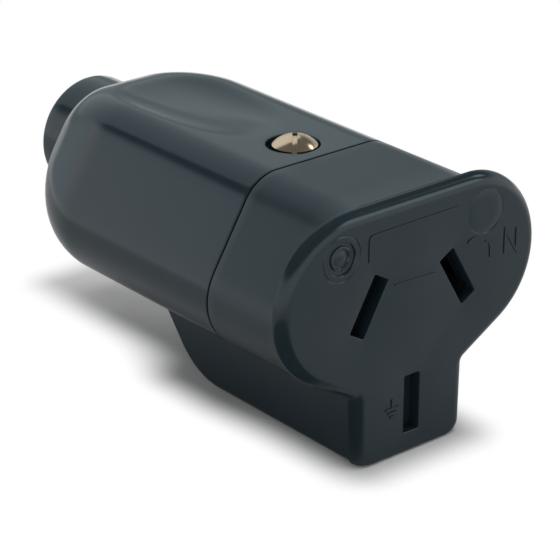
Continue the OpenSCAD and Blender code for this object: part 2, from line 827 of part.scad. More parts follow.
front_body();
rear_cover();
cover_screw();
cover_nut();
line_contact();
neutral_contact();
earth_contact();
line_terminal();
neutral_terminal();
earth_terminal();
line_rivet();
neutral_rivet();
earth_rivet();
line_plate();
neutral_plate();
earth_plate();
line_screw();
neutral_screw();
earth_screw();
grip_saddle();
left_grip_screw();
right_grip_screw();
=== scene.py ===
import math

import bmesh
import bpy
import numpy as np
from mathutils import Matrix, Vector
from mathutils.geometry import delaunay_2d_cdt


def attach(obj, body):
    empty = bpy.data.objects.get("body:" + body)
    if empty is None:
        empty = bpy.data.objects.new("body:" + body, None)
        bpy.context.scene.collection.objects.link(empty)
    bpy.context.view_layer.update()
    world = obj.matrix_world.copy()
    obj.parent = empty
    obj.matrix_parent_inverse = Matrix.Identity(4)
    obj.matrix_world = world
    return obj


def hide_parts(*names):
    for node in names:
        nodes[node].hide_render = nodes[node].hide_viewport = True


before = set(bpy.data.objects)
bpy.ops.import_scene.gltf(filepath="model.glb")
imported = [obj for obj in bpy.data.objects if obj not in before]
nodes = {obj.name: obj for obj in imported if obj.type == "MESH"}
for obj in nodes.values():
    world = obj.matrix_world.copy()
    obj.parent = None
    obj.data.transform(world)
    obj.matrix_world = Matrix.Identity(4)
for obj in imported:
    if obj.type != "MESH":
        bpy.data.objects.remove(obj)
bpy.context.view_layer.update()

mm = 0.001  # every shape below is worked out in millimetres
tiny = 1e-6  # slack in millimetres where two computed places are compared
weld = {"join": 1.2e-6, "sliver": 1e-8, "flat": 1e-9}  # how near is the same place; flat in millimetres, else metres
plainWhite = (1.0, 1.0, 1.0, 1.0)
mixFirst, mixSecond, mixOut = 6, 7, 2  # a colour mix node's two colours and its result
scene = bpy.context.scene


def toLinear(hexColour):  # sRGB hex to the linear colour that shaders take
    srgb = np.array([int(hexColour[i:i + 2], 16) for i in (1, 3, 5)]) / 255
    linear = np.where(srgb <= 0.04045, srgb / 12.92, ((srgb + 0.055) / 1.055) ** 2.4)
    return (*linear.tolist(), 1.0)


def addNode(tree, kind, settings=None, links=None):  # links gives each input a value or another node's output
    node = tree.nodes.new(kind)
    for name, value in (settings or {}).items():
        setattr(node, name, value)
    for socket, value in (links or {}).items():
        if isinstance(value, bpy.types.NodeSocket):
            tree.links.new(value, node.inputs[socket])
        else:
            node.inputs[socket].default_value = value
    return node


def startMaterial(name):  # an empty material with its output node
    material = bpy.data.materials.new(name)
    material.use_nodes = True
    material.node_tree.nodes.clear()
    return material, material.node_tree, addNode(material.node_tree, "ShaderNodeOutputMaterial")


# shape helpers

def between(first, last, count):  # places on the way from first to last in even steps, both ends included
    return np.linspace(first, last, count + 1)


def shares(count):  # even shares of a way
    return between(0, 1, count)


def quarterTurn(count):  # even angles of a quarter turn
    return np.radians(between(0, 90, count))


def column(values):  # numbers as a column, one a row
    return np.reshape(values, (-1, 1)).astype(float)


def pointRows(x, z):  # one point a row; at least one of the two is a column
    return np.concatenate(np.broadcast_arrays(x, z), axis=1)


def gridQuads(rows, cols, closeRows=False, closeCols=True):
    # quads between neighbouring lines of a grid numbered row by row; a closed way joins its last line to its first
    r, c = np.meshgrid(np.arange(rows - (not closeRows)), np.arange(cols - (not closeCols)), indexing="ij")
    down, right = (r + 1) % rows, (c + 1) % cols
    return np.stack([r * cols + c, r * cols + right, down * cols + right, down * cols + c], axis=-1)


def patch(points, closeRows=False, closeCols=True):  # a grid of points with all its quads
    rows, cols = points.shape[:2]
    return points.reshape(-1, 3), gridQuads(rows, cols, closeRows, closeCols).reshape(-1, 4)


def poleEnds(rows):  # rows of closed outlines, with each end gathered into its middle point
    first, last = [np.broadcast_to(rows[i].mean(axis=0), rows[i].shape) for i in (0, -1)]
    return patch(np.concatenate([first[None], rows, last[None]]))


def arc(x, z, r, start, stop, count):
    # points of a circle arc, centre plus radius times cosine and sine; all but count may be columns, one a row
    angles = np.radians(start + (stop - start) * shares(count))
    return np.stack(np.broadcast_arrays(x + r * np.cos(angles), z + r * np.sin(angles)), axis=-1)


def straight(first, last, ways):  # points at the given shares of the way between two ends
    ways = np.asarray(ways)[:, None]
    return first[..., None, :] * (1 - ways) + last[..., None, :] * ways


def mirrorLoop(half):  # right half from top to bottom, then its mirror image back up, ends not doubled
    left = half[..., -2:0:-1, :] * np.array([-1, 1])
    return np.concatenate([half, left], axis=-2)


def atY(outline, y):  # outline in X and Z placed at y; y is one number, a column or one a point
    y = np.broadcast_to(np.asarray(y, float), outline.shape[:-1])
    return np.stack([outline[..., 0], y, outline[..., 1]], axis=-1)


def insideLoops(points, loops):  # odd count of outline edges crossed by a ray to the right means inside
    crossings = np.zeros(len(points), int)
    for loop in loops:
        a, b = loop, np.roll(loop, -1, axis=0)
        px, pz = points[:, :1], points[:, 1:]
        spans = (a[:, 1] > pz) != (b[:, 1] > pz)
        rise = np.where(b[:, 1] == a[:, 1], 1, b[:, 1] - a[:, 1])
        crossings += (spans & (px < a[:, 0] + (pz - a[:, 1]) * (b[:, 0] - a[:, 0]) / rise)).sum(axis=1)
    return crossings % 2 == 1


def flatFace(loops, y):  # plane at y between an outer loop and the hole loops in it, as triangles
    points = np.concatenate(loops)
    sizes = [len(loop) for loop in loops]
    starts = np.cumsum([0] + sizes[:-1])
    numbers = [start + np.arange(size) for start, size in zip(starts, sizes)]
    edges = np.concatenate([np.stack([n, np.roll(n, -1)], axis=-1) for n in numbers])
    found = delaunay_2d_cdt(points.tolist(), edges.tolist(), [], 0, weld["flat"])  # 0 asks for all triangles
    corners, triangles = np.array(found[0]), np.array(found[2])
    keep = insideLoops(corners[triangles].mean(axis=1), loops)
    return atY(corners, y), triangles[keep]


def makePiece(name, shells, material, body, stands, sharpAngle=32):
    # each shell is a list of patches in millimetres that join into one closed skin; shells may overlap
    whole = bmesh.new()
    for shell in shells:
        part = bpy.data.meshes.new(name)
        points, faces, start = [], [], 0
        for corners, polygons in shell:
            points.append(corners)
            faces += (polygons + start).tolist()
            start += len(corners)
        part.from_pydata((np.concatenate(points) * mm).tolist(), [], faces)
        skin = bmesh.new()
        skin.from_mesh(part)
        bmesh.ops.remove_doubles(skin, verts=skin.verts, dist=weld["join"])
        bmesh.ops.dissolve_degenerate(skin, edges=skin.edges, dist=weld["sliver"])
        bmesh.ops.recalc_face_normals(skin, faces=skin.faces)
        openEdges = sum(not e.is_manifold for e in skin.edges)
        if openEdges:
            print(f"{name}: {openEdges} open edges in a shell of {len(skin.faces)} faces")
        skin.to_mesh(part)
        skin.free()
        whole.from_mesh(part)
        bpy.data.meshes.remove(part)
    mesh = bpy.data.meshes.new(name)
    whole.to_mesh(mesh)
    whole.free()
    mesh.shade_smooth()
    mesh.set_sharp_from_angle(angle=math.radians(sharpAngle))
    mesh.materials.append(material)
    piece = bpy.data.objects.new(name, mesh)
    scene.collection.objects.link(piece)
    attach(piece, body)
    if stands:
        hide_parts(stands)
    print(f"{name}: {len(mesh.polygons)} faces")


# materials

plasticLook = {
    "flow": 9.0, "grain": 0.3, "dullOver": 0.5,  # millimetres; real grain is 0.05, drawn at 0.3 to show
    "flowRange": (0.3, 0.7), "tone": "#243036", "sheen": "#ECF9FF", "ior": 1.5, "dullBy": 0.16,
}
metalLook = {"tarnish": 2.5, "markDeep": 0.004}  # millimetres


def mouldedPlastic(name, baseHex, grainDepth, roughLow, roughHigh, dullY=None):
    # black glass-filled nylon from a spark-eroded mould: a deep blue-black under a soft satin sheen that
    # varies a little where the resin flowed, with a fine even grain, grainDepth deep; behind dullY the mould's
    # texture is coarser
    look = plasticLook
    material, tree, output = startMaterial(name)
    place = addNode(tree, "ShaderNodeTexCoord")
    flow = addNode(tree, "ShaderNodeTexNoise", links={
        "Vector": place.outputs["Object"], "Scale": 1 / (look["flow"] * mm), "Detail": 3.0, "Roughness": 0.55})
    rough = addNode(tree, "ShaderNodeMapRange", links={
        "Value": flow.outputs["Fac"], "From Min": look["flowRange"][0], "From Max": look["flowRange"][1],
        "To Min": roughLow, "To Max": roughHigh})
    roughness = rough.outputs["Result"]
    if dullY:
        along = addNode(tree, "ShaderNodeSeparateXYZ", links={0: place.outputs["Object"]})
        duller = addNode(tree, "ShaderNodeMapRange", {"interpolation_type": "SMOOTHSTEP"}, {
            "Value": along.outputs["Y"], "From Min": dullY * mm, "From Max": (dullY + look["dullOver"]) * mm,
            "To Max": look["dullBy"]})
        added = addNode(tree, "ShaderNodeMath", {"operation": "ADD"}, {0: roughness, 1: duller.outputs["Result"]})
        roughness = added.outputs[0]
    tint = addNode(tree, "ShaderNodeMix", {"data_type": "RGBA"}, {
        "Factor": flow.outputs["Fac"], mixFirst: toLinear(baseHex), mixSecond: toLinear(look["tone"])})
    grain = addNode(tree, "ShaderNodeTexNoise", links={
        "Vector": place.outputs["Object"], "Scale": 1 / (look["grain"] * mm), "Detail": 2.0})
    bump = addNode(tree, "ShaderNodeBump", links={
        "Height": grain.outputs["Fac"], "Strength": 1.0, "Distance": grainDepth * mm})
    shader = addNode(tree, "ShaderNodeBsdfPrincipled", links={
        "Base Color": tint.outputs[mixOut], "Roughness": roughness, "IOR": look["ior"],
        "Specular Tint": toLinear(look["sheen"]), "Normal": bump.outputs["Normal"]})
    tree.links.new(shader.outputs["BSDF"], output.inputs["Surface"])
    return material


def platedMetal(name, baseHex, toneHex, roughness, streak):
    # turned or pressed metal: mirror-like tone with a faint drift of colour and fine tool marks, streak apart
    material, tree, output = startMaterial(name)
    place = addNode(tree, "ShaderNodeTexCoord")
    cloud = addNode(tree, "ShaderNodeTexNoise", links={
        "Vector": place.outputs["Object"], "Scale": 1 / (metalLook["tarnish"] * mm), "Detail": 2.0})
    tone = addNode(tree, "ShaderNodeMix", {"data_type": "RGBA"}, {
        "Factor": cloud.outputs["Fac"], mixFirst: toLinear(baseHex), mixSecond: toLinear(toneHex)})
    toolMarks = addNode(tree, "ShaderNodeTexNoise", links={
        "Vector": place.outputs["Object"], "Scale": 1 / (streak * mm), "Detail": 3.0})
    bump = addNode(tree, "ShaderNodeBump", links={
        "Height": toolMarks.outputs["Fac"], "Strength": 1.0, "Distance": metalLook["markDeep"] * mm})
    shader = addNode(tree, "ShaderNodeBsdfPrincipled", links={
        "Base Color": tone.outputs[mixOut], "Metallic": 1.0, "Roughness": roughness, "Normal": bump.outputs["Normal"]})
    tree.links.new(shader.outputs["BSDF"], output.inputs["Surface"])
    return material


bodyNylon = mouldedPlastic("mouldedBlackNylonBody", "#1A262B", 0.002, 0.15, 0.2, 1.7)  # satin face, duller shell
coverNylon = mouldedPlastic("mouldedBlackNylonCover", "#1A262B", 0.001, 0.1, 0.14)  # glossy, with clear reflections
gripNylon = mouldedPlastic("mouldedBlackNylonGrip", "#1A1D20", 0.006, 0.42, 0.52)  # dull and dark inside
nickelSteel = platedMetal("nickelPlatedSteelTurned", "#FCDFC2", "#F0CAA2", 0.18, 0.25)  # warm, nearly a mirror
phosphorBronze = platedMetal("phosphorBronzePressed", "#B98A5E", "#A3744C", 0.28, 0.2)  # coppery brown strip
turnedBrass = platedMetal("brassMachined", "#CBA659", "#B8934A", 0.25, 0.15)  # yellow, bright on its cut faces
zincSteel = platedMetal("zincPlatedSteel", "#B9BEC4", "#A7ADB5", 0.3, 0.2)  # pale blue-grey, a little cloudy
print("materials made")

# body section shared by the front shell and the hood; in each dictionary, steps says how finely a stretch is divided

bodyShape = {
    "front": dict(topHalf=7.0, shoulderZ=10.35, shoulderR=5.5, bellyHalf=10.6, bellyMid=1.75, bellyR=6.9),
    "rear": dict(topHalf=1.8, shoulderZ=4.95, shoulderR=9.2, bellyHalf=1.8, bellyMid=4.95, bellyR=9.2),
    "topZ": 15.85, "bellyZ": -5.15, "seamY": 16.3, "spare": 0.01, "steps": dict(shoulder=14, side=8, belly=20),
}


def shoulderEnd():  # angle at which the front shoulder runs into the side without a crease, and a hair to spare
    f = bodyShape["front"]
    dx, dz = f["bellyHalf"] - f["topHalf"], f["bellyMid"] - f["shoulderZ"]
    lean = math.acos((f["shoulderR"] - f["bellyR"]) / math.hypot(dx, dz))
    return math.degrees(math.atan2(dz, dx) + lean) + bodyShape["spare"]


def bodySection(k, inset, topShares, bellyShares):
    # flat top, shoulder arc, straight side that touches the belly arc, belly arc and flat underside; k blends the
    # front section into the rear one, and inset shrinks the arcs' radii
    k, inset, steps = column(k), column(inset), bodyShape["steps"]
    value = {n: f + (bodyShape["rear"][n] - f) * k for n, f in bodyShape["front"].items()}
    xu, zu, ru = value["topHalf"], value["shoulderZ"], value["shoulderR"] - inset
    xl, zl, rl = value["bellyHalf"], value["bellyMid"], value["bellyR"] - inset
    shoulder = arc(xu, zu, ru, 90, shoulderEnd(), steps["shoulder"])
    px, pz = shoulder[:, -1:, 0] - xl, shoulder[:, -1:, 1] - zl
    touch = np.degrees(np.arctan2(pz, px) - np.arccos(np.minimum(rl / np.hypot(px, pz), 1)))
    belly = arc(xl, zl, rl, touch, -90, steps["belly"])
    top = straight(pointRows(0, zu + ru), shoulder[:, 0], topShares)
    side = straight(shoulder[:, -1], belly[:, 0], shares(steps["side"])[1:-1])
    under = straight(belly[:, -1], pointRows(0, zl - rl), bellyShares)
    return mirrorLoop(np.concatenate([top, shoulder[:, 1:], side, belly, under[:, 1:]], axis=1))


# rear cover: hood, thumb scoop, cord neck and screw well in one closed skin

hood = {
    "gap": 0.25, "wall": 2.4, "seamRound": 0.07, "taperY": 44.6, "endY": 56.1, "power": 1.7, "edge": 1.1,
    "slotHalf": 8.1, "slotEnd": 40.67, "topAbove": 8.0,  # what lies higher than topAbove counts as the top
    "neckR": 7.8, "neckZ": 5.15, "neckEnd": 64.1, "neckRim": 0.8, "neckRoot": 0.08, "neckRows": (58.0, 60.0, 62.0),
    "boreR": 5.0, "boreRim": 0.4, "blend": (0.35, 0.7),
    "screwY": 21.5, "wellHalfX": 5.0, "wellHalfY": 4.55, "wellEdge": 0.12,
    "sinkR": 3.3, "sinkZ": 14.45, "sinkOff": (-0.17, 0.14),  # the head sits a little to one side in its counterbore
    "holeR": 1.7, "bossR": 4.4, "bossZ": 12.45,
    "steps": dict(seam=3, edge=6, wellX=10, wellY=18, topSide=3, bellySide=3, slot=8, middle=31, rear=4, taper=30),
}
wellY = (hood["screwY"] - hood["wellHalfY"], hood["screwY"] + hood["wellHalfY"])
scoop = {"y": 45.0, "half": 6.8, "deep": 0.9, "front": 17.0, "back": 12.0, "power": 3.0, "soft": 0.3, "above": 9.0}


def scoopHeight(x, y):
    # floor that rises along Y with the square of the distance from its lowest place and across X with the third
    # power, so that it is flat in the middle and has walls at its long sides
    s = y - scoop["y"]
    along = (s / np.where(s < 0, scoop["front"], scoop["back"])) ** 2
    across = np.abs(x / scoop["half"]) ** scoop["power"]
    return bodyShape["topZ"] - scoop["deep"] * (1 - along - across)


def softMin(a, b, width):  # the lower of two heights with a rounded change-over
    near = np.maximum(width - np.abs(a - b), 0) / width
    return np.minimum(a, b) - near ** 2 * width / 4


def hoodWalls():
    # outer and inner wall as rows of the body section along Y; past taperY the rear section's share grows along a
    # super-ellipse, and the section shrinks along quarter arcs at the joint line and the rear edge; behind the screw
    # well the top is the lower of itself and the scoop
    h, steps = hood, hood["steps"]
    topHalf, bellyHalf = bodyShape["front"]["topHalf"], bodyShape["front"]["bellyHalf"]
    topShares = np.concatenate([between(0, h["wellHalfX"], steps["wellX"]),
        between(h["wellHalfX"], topHalf, steps["topSide"])[1:]]) / topHalf
    bellyShares = 1 - np.concatenate([between(bellyHalf, h["slotHalf"], steps["bellySide"]),
        between(h["slotHalf"], 0, steps["slot"])[1:]]) / bellyHalf
    near, quarter = bodyShape["seamY"] + h["gap"], quarterTurn(steps["seam"])
    straightY = np.concatenate([near + h["seamRound"] * (1 - np.cos(quarter)), between(*wellY, steps["wellY"]),
        between(wellY[1], h["slotEnd"], steps["middle"])[1:], between(h["slotEnd"], h["taperY"], steps["rear"])[1:]])
    seamInset = np.concatenate([h["seamRound"] * (1 - np.sin(quarter)), np.zeros(len(straightY) - len(quarter))])
    t = np.sin(quarterTurn(steps["taper"]))[1:]

    def wallRows(inset, end, edgeInset):
        y = h["taperY"] + (end - h["taperY"]) * t
        k = 1 - (1 - t ** h["power"]) ** (1 / h["power"])
        into = np.maximum(y - end + h["edge"], 0)
        more = h["edge"] - np.sqrt(np.maximum(h["edge"] ** 2 - into ** 2, 0))
        outline = bodySection(np.concatenate([np.zeros(len(straightY)), k]),
            np.concatenate([edgeInset, more]) + inset, topShares, bellyShares)
        return atY(outline, np.concatenate([straightY, y])[:, None])

    outer = wallRows(0, h["endY"], seamInset)
    inner = wallRows(h["wall"], h["endY"] - h["wall"], 0 * seamInset)
    x, y, z = outer[..., 0], outer[..., 1], outer[..., 2]
    onTop = (z > scoop["above"]) & (y > wellY[1] + tiny)
    outer[..., 2] = np.where(onTop, softMin(z, scoopHeight(x, y), scoop["soft"]), z)
    return outer, inner, straightY


def hoodNeck(outerEnd, innerEnd):
    # from the outer end outline to the inner one: circles whose points stand at the outline's angles, with quarter
    # arcs at the neck's root, its rim and the bore's rim
    h = hood
    around = np.arctan2(outerEnd[:, 2] - h["neckZ"], outerEnd[:, 0])

    def ring(r, y):
        return np.stack([r * np.cos(around), np.full_like(around, y), h["neckZ"] + r * np.sin(around)], axis=-1)

    turn = quarterTurn(h["steps"]["edge"])
    root, rim, bore = h["neckRoot"], h["neckRim"], h["boreRim"]
    rootRows = [ring(h["neckR"] + root * (1 - math.sin(a)), h["endY"] + root * (1 - math.cos(a))) for a in turn]
    rimRows = [ring(h["neckR"] - rim * (1 - math.cos(a)), h["neckEnd"] - rim * (1 - math.sin(a))) for a in turn]
    boreRows = [ring(h["boreR"] + bore * (1 - math.sin(a)), h["neckEnd"] - bore * (1 - math.cos(a))) for a in turn]
    boreEnd = ring(h["boreR"], h["endY"] - h["wall"])
    endBlend = [outerEnd * (1 - s) + rootRows[0] * s for s in h["blend"]]
    innerBlend = [boreEnd * (1 - s) + innerEnd * s for s in h["blend"]]
    return np.stack([*endBlend, *rootRows, *[ring(h["neckR"], y) for y in h["neckRows"]], *rimRows, *boreRows,
        ring(h["boreR"], h["neckRows"][0]), boreEnd, *innerBlend])


def screwWell():
    # from the hood's top down to its inside round the screw: square border, rounded lip, counterbore, clearance hole,
    # boss and the border again; the circles' points stand at the border's angles
    h = hood
    lineX = between(-h["wellHalfX"], h["wellHalfX"], 2 * h["steps"]["wellX"])
    lineY = between(*wellY, h["steps"]["wellY"])
    loop = np.concatenate([pointRows(column(lineX), wellY[0]), pointRows(h["wellHalfX"], column(lineY))[1:],
        pointRows(column(lineX[::-1]), wellY[1])[1:], pointRows(-h["wellHalfX"], column(lineY[::-1]))[1:-1]])
    spin = np.arctan2(loop[:, 1] - h["screwY"], loop[:, 0])
    centre = np.array([0, h["screwY"]])

    def atZ(flat, z):
        return np.concatenate([flat, np.full((len(flat), 1), z)], axis=1)

    def ring(r, z, off=(0, 0)):
        return atZ(centre + np.array(off) + r * np.stack([np.cos(spin), np.sin(spin)], axis=-1), z)

    topZ, insideZ, e = bodyShape["topZ"], bodyShape["topZ"] - h["wall"], h["wellEdge"]
    lip = [ring(h["sinkR"] + e * (1 - math.sin(a)), topZ - e * (1 - math.cos(a)), h["sinkOff"])
        for a in quarterTurn(h["steps"]["edge"])]
    return np.stack([atZ(loop, topZ), (atZ(loop, topZ) + lip[0]) / 2, *lip, ring(h["sinkR"], h["sinkZ"], h["sinkOff"]),
        ring(h["holeR"], h["sinkZ"]), ring(h["holeR"], h["bossZ"]), ring(h["bossR"], h["bossZ"]),
        ring(h["bossR"], insideZ), atZ(loop, insideZ)])


def makeHood():
    # walls and neck are one closed grid; the quads of the earth box's slot and of the screw well are left out, and
    # the slot's edges and the well's rings close the skin again
    h = hood
    outer, inner, straightY = hoodWalls()
    rows = np.concatenate([outer, hoodNeck(outer[-1], inner[-1]), inner[::-1]])
    columnX, columnZ, rowY = inner[0, :, 0], inner[0, :, 2], rows[:, 0, 1]
    firstY, lastY = np.minimum(rowY, np.roll(rowY, -1)), np.maximum(rowY, np.roll(rowY, -1))
    pairX = np.maximum(np.abs(columnX), np.abs(np.roll(columnX, -1)))
    top = np.minimum(columnZ, np.roll(columnZ, -1)) > h["topAbove"]
    slotCols = ~top & (pairX < h["slotHalf"] + tiny)
    wellCols = top & (pairX < h["wellHalfX"] + tiny)
    inSlot = (lastY < h["slotEnd"] + tiny)[:, None] & slotCols
    inWell = ((firstY > wellY[0] - tiny) & (lastY < wellY[1] + tiny))[:, None] & wellCols
    quads = gridQuads(len(rows), rows.shape[1], closeRows=True)
    skin = (rows.reshape(-1, 3), quads[~(inSlot | inWell)])

    under = columnZ < 0
    slotRows = np.flatnonzero(straightY < h["slotEnd"] + tiny)
    sideCols = [np.where(under, np.abs(columnX - x), np.inf).argmin() for x in (-h["slotHalf"], h["slotHalf"])]
    endCols = np.flatnonzero(under & (np.abs(columnX) < h["slotHalf"] + tiny))
    edges = [np.stack([outer[slotRows, col], inner[slotRows, col]]) for col in sideCols]
    edges.append(np.stack([outer[slotRows[-1], endCols], inner[slotRows[-1], endCols]]))
    return [skin, *[patch(edge, closeCols=False) for edge in edges], patch(screwWell())]


makePiece("hoodShell", [makeHood()], coverNylon, "socket", "rear_cover", 26)

# front shell: slotted face with flange, body tube, earth box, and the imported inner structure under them

plate = {
    "faceY": 0.14, "half": 9.2, "r": 10.68, "mid": 5.2, "t": 1.8, "edge": 1.58, "backEdge": 0.12, "leave": -60.0,
    "fillet": 0.6, "apronTop": 8.6, "apronBase": 8.45, "baseZ": -16.7, "baseSharp": 0.2, "corner": 1.5,
    "steps": dict(edge=14, back=4, top=10, rim=56, line=8, fillet=10, side=8, corner=10, under=8, mark=72),
}
slots = {
    "length": 7.4, "width": 2.4, "corner": 0.2, "edge": 0.14, "steps": 4,
    "places": [(-6.86, 3.96, 30), (6.86, 3.96, -30), (0, -10.31, 0)],  # middle in X and Z, lean in degrees
}
marks = {  # middle in X and Z, then radius and depth from the edge inwards
    "left": (-11.1, 11.05, [(2.85, 0), (2.78, 0.05), (2.68, 0.05), (2.6, 0), (2.1, 0), (2.0, 0.08), (1.94, 0.25),
        (1.55, 0.3), (1.47, 0.16), (1.35, 0.1), (1.2, 0.12), (1.08, 0.28), (0.95, 0.3), (0.7, 0.2), (0.35, 0.14),
        (0, 0.12)]),
    "right": (11.1, 11.05, [(2.85, 0), (2.77, 0.06), (2.68, 0.06), (2.58, 0.02), (1.4, 0.02), (0, 0.02)]),
}
tube = {
    "startY": 1.73, "root": 0.05, "rows": (6, 9, 12, 15), "seamRound": 0.07, "wall": 1.0, "endBack": 0.02,
    "steps": dict(edge=3, flat=8),
}
box = {
    "startY": 1.73, "half": 7.95, "baseHalf": 7.8, "corner": 1.0, "topZ": -2.6, "sideBreak": -5.5, "backY": 31.5,
    "slope": 52, "round": 9.0, "endY": 40.52, "startInset": 0.3,
    "levelTo": 26.6, "bendSpan": (27, 34.5), "slopeFrom": 35,  # rows stand closer where the underside bends
    "steps": dict(level=8, bend=25, slope=11, top=4, high=4, side=8, corner=8, under=6),
}
core = {  # how near counts as on a face, and how far each face is drawn back
    "draw": 0.4, "reach": 0.3, "near": 0.01, "loose": 0.05, "underHigh": 0.9, "slopeY": 27, "slopeBack": 0.3,
    "seamBack": 0.1, "flangeNear": 0.02, "flangeBack": 0.15, "faceNear": 0.7, "faceBack": 0.5,
    "slotY": 1.0, "slotNear": 0.1, "slotWiden": 1.3, "slotLengthen": 1.1, "decimals": 4, "steps": 32,
}


def faceOutline(d):
    # stadium flange and the apron under it in one outline: flange arc to the leave angle, straight line that goes on
    # from it, fillet that touches the line and the apron's side, side, corner arc and bottom edge; d shrinks it, but
    # the bottom edge only by its own smaller share
    p, steps = plate, plate["steps"]
    d = column(d)
    w, f, r, low = p["apronTop"] - d, p["fillet"] + d, p["r"] - d, p["baseZ"] + d * p["baseSharp"]
    leave = math.radians(p["leave"])
    fz = p["mid"] + (r + f - (w + f - p["half"]) * math.cos(leave)) / math.sin(leave)
    rim = arc(p["half"], p["mid"], r, 90, p["leave"], steps["rim"])
    fillet = arc(w + f, fz, f, 180 + p["leave"], 180, steps["fillet"])
    line = straight(rim[:, -1], fillet[:, 0], shares(steps["line"])[1:])
    corner = arc(p["apronBase"] - d - p["corner"], low + p["corner"], p["corner"], 0, -90, steps["corner"])
    top = straight(pointRows(0, p["mid"] + r), rim[:, 0], shares(steps["top"])[:-1])
    side = straight(fillet[:, -1], corner[:, 0], shares(steps["side"])[1:-1])
    under = straight(corner[:, -1], pointRows(0, low), shares(steps["under"])[1:])
    return mirrorLoop(np.concatenate([top, rim, line, fillet[:, 1:], side, corner, under], axis=1))


def slotLoop(place, grow):  # rectangle with small round corners, turned by its lean
    x, z, lean = place
    a, b, c = slots["width"] / 2 + grow, slots["length"] / 2 + grow, slots["corner"] + grow
    flat = np.concatenate([arc(sx * (a - c), sz * (b - c), c, start, start + 90, slots["steps"])
        for sx, sz, start in ((1, 1, 0), (-1, 1, 90), (-1, -1, 180), (1, -1, 270))])
    s = math.radians(lean)
    return np.stack([x + flat[:, 0] * math.cos(s) + flat[:, 1] * math.sin(s),
        z - flat[:, 0] * math.sin(s) + flat[:, 1] * math.cos(s)], axis=-1)


def makePlate():
    # face outline carried round a quarter arc from the front to the flange's rim and round a small one to its back;
    # slots go through with small round edges, and each mark is a profile of radius and depth turned round its middle
    p, e, steps = plate, slots["edge"], plate["steps"]
    bend = quarterTurn(steps["edge"])
    front = atY(faceOutline(p["edge"] * (1 - np.sin(bend))), (p["faceY"] + p["edge"] * (1 - np.cos(bend)))[:, None])
    plain, shrunk = faceOutline([0, p["backEdge"]])
    back = [atY(plain + (shrunk - plain) * (1 - math.cos(a)), p["t"] - p["backEdge"] * (1 - math.sin(a)))
        for a in quarterTurn(steps["back"])]
    walls, discs = [], []
    for place in slots["places"]:
        rings = [atY(slotLoop(place, e * (1 - math.sin(a))), p["faceY"] + e * (1 - math.cos(a)))
            for a in quarterTurn(slots["steps"])]
        walls.append(patch(np.stack(rings + [atY(slotLoop(place, 0), p["t"])])))
    turn = 2 * np.pi * shares(steps["mark"])[:-1]
    for x, z, profile in marks.values():
        r, deep = np.array(profile).T[:, :, None]
        rings = np.stack([x + r * np.cos(turn), z + r * np.sin(turn)], axis=-1)
        walls.append(patch(atY(rings, p["faceY"] + deep)))
        discs.append(rings[0])
    frontLoops = [front[0][:, [0, 2]], *[slotLoop(place, e) for place in slots["places"]], *discs]
    backLoops = [back[-1][:, [0, 2]], *[slotLoop(place, 0) for place in slots["places"]]]
    side = np.concatenate([front, np.stack(back)])
    return [patch(side), *walls, flatFace(frontLoops, p["faceY"]), flatFace(backLoops, p["t"])]


def makeTube():
    # body section carried along Y, with a small root against the flange and a rounded edge at the joint line
    t, seam, quarter = tube, bodyShape["seamY"], quarterTurn(tube["steps"]["edge"])
    y = np.concatenate([[t["startY"]], plate["t"] + t["root"] * (1 - np.cos(quarter)), t["rows"],
        seam - t["seamRound"] * (1 - np.sin(quarter)), [seam - t["endBack"], t["startY"]]])
    inset = np.concatenate([[0], -t["root"] * (1 - np.sin(quarter)), np.zeros(len(t["rows"])),
        t["seamRound"] * (1 - np.cos(quarter)), [t["wall"], t["wall"]]])
    flat = shares(t["steps"]["flat"])
    outline = bodySection(0 * y, inset, flat, flat)
    return [patch(atY(outline, y[:, None]), closeRows=True)]


def boxBase(y):  # underside of the earth box: level, then an arc, then the sloping rear end
    b, low = box, plate["baseZ"]
    slope = math.radians(b["slope"])
    bendY = b["backY"] - b["round"] * math.tan(slope / 2)
    arcEnd = bendY + b["round"] * math.sin(slope)
    arcZ = low + b["round"] - np.sqrt(np.maximum(b["round"] ** 2 - np.clip(y - bendY, 0, None) ** 2, 0))
    lineZ = low + (y - b["backY"]) * math.tan(slope)
    return np.where(y < bendY, low, np.where(y < arcEnd, arcZ, lineZ))


def makeBox():
    # U section carried along Y over the level, arc and sloping underside; both ends close on a pole
    b, p, steps = box, plate, box["steps"]
    y = np.concatenate([[b["startY"]], between(p["t"], b["levelTo"], steps["level"]),
        between(*b["bendSpan"], steps["bend"]), between(b["slopeFrom"], b["endY"], steps["slope"])])
    inset = np.where(y < p["t"] - tiny, b["startInset"], 0)[:, None]
    low = boxBase(y)[:, None] + inset
    cornerZ = low + b["corner"]
    half = np.interp(cornerZ, [p["baseZ"] + b["corner"], b["sideBreak"]], [b["baseHalf"], b["half"]]) - inset
    wide, topZ = b["half"] - inset, b["topZ"] - inset
    corner = arc(half - b["corner"], cornerZ, b["corner"], 0, -90, steps["corner"])
    topEdge = pointRows(wide, topZ)
    breakEdge = pointRows(np.where(cornerZ > b["sideBreak"], half, wide), np.maximum(cornerZ, b["sideBreak"]))
    top = straight(pointRows(0, topZ), topEdge, shares(steps["top"])[:-1])
    high = straight(topEdge, breakEdge, shares(steps["high"])[:-1])
    side = straight(breakEdge, corner[:, 0], shares(steps["side"])[:-1])
    under = straight(corner[:, -1], pointRows(0, low), shares(steps["under"])[1:])
    return [poleEnds(atY(mirrorLoop(np.concatenate([top, high, side, corner, under], axis=1)), y[:, None]))]


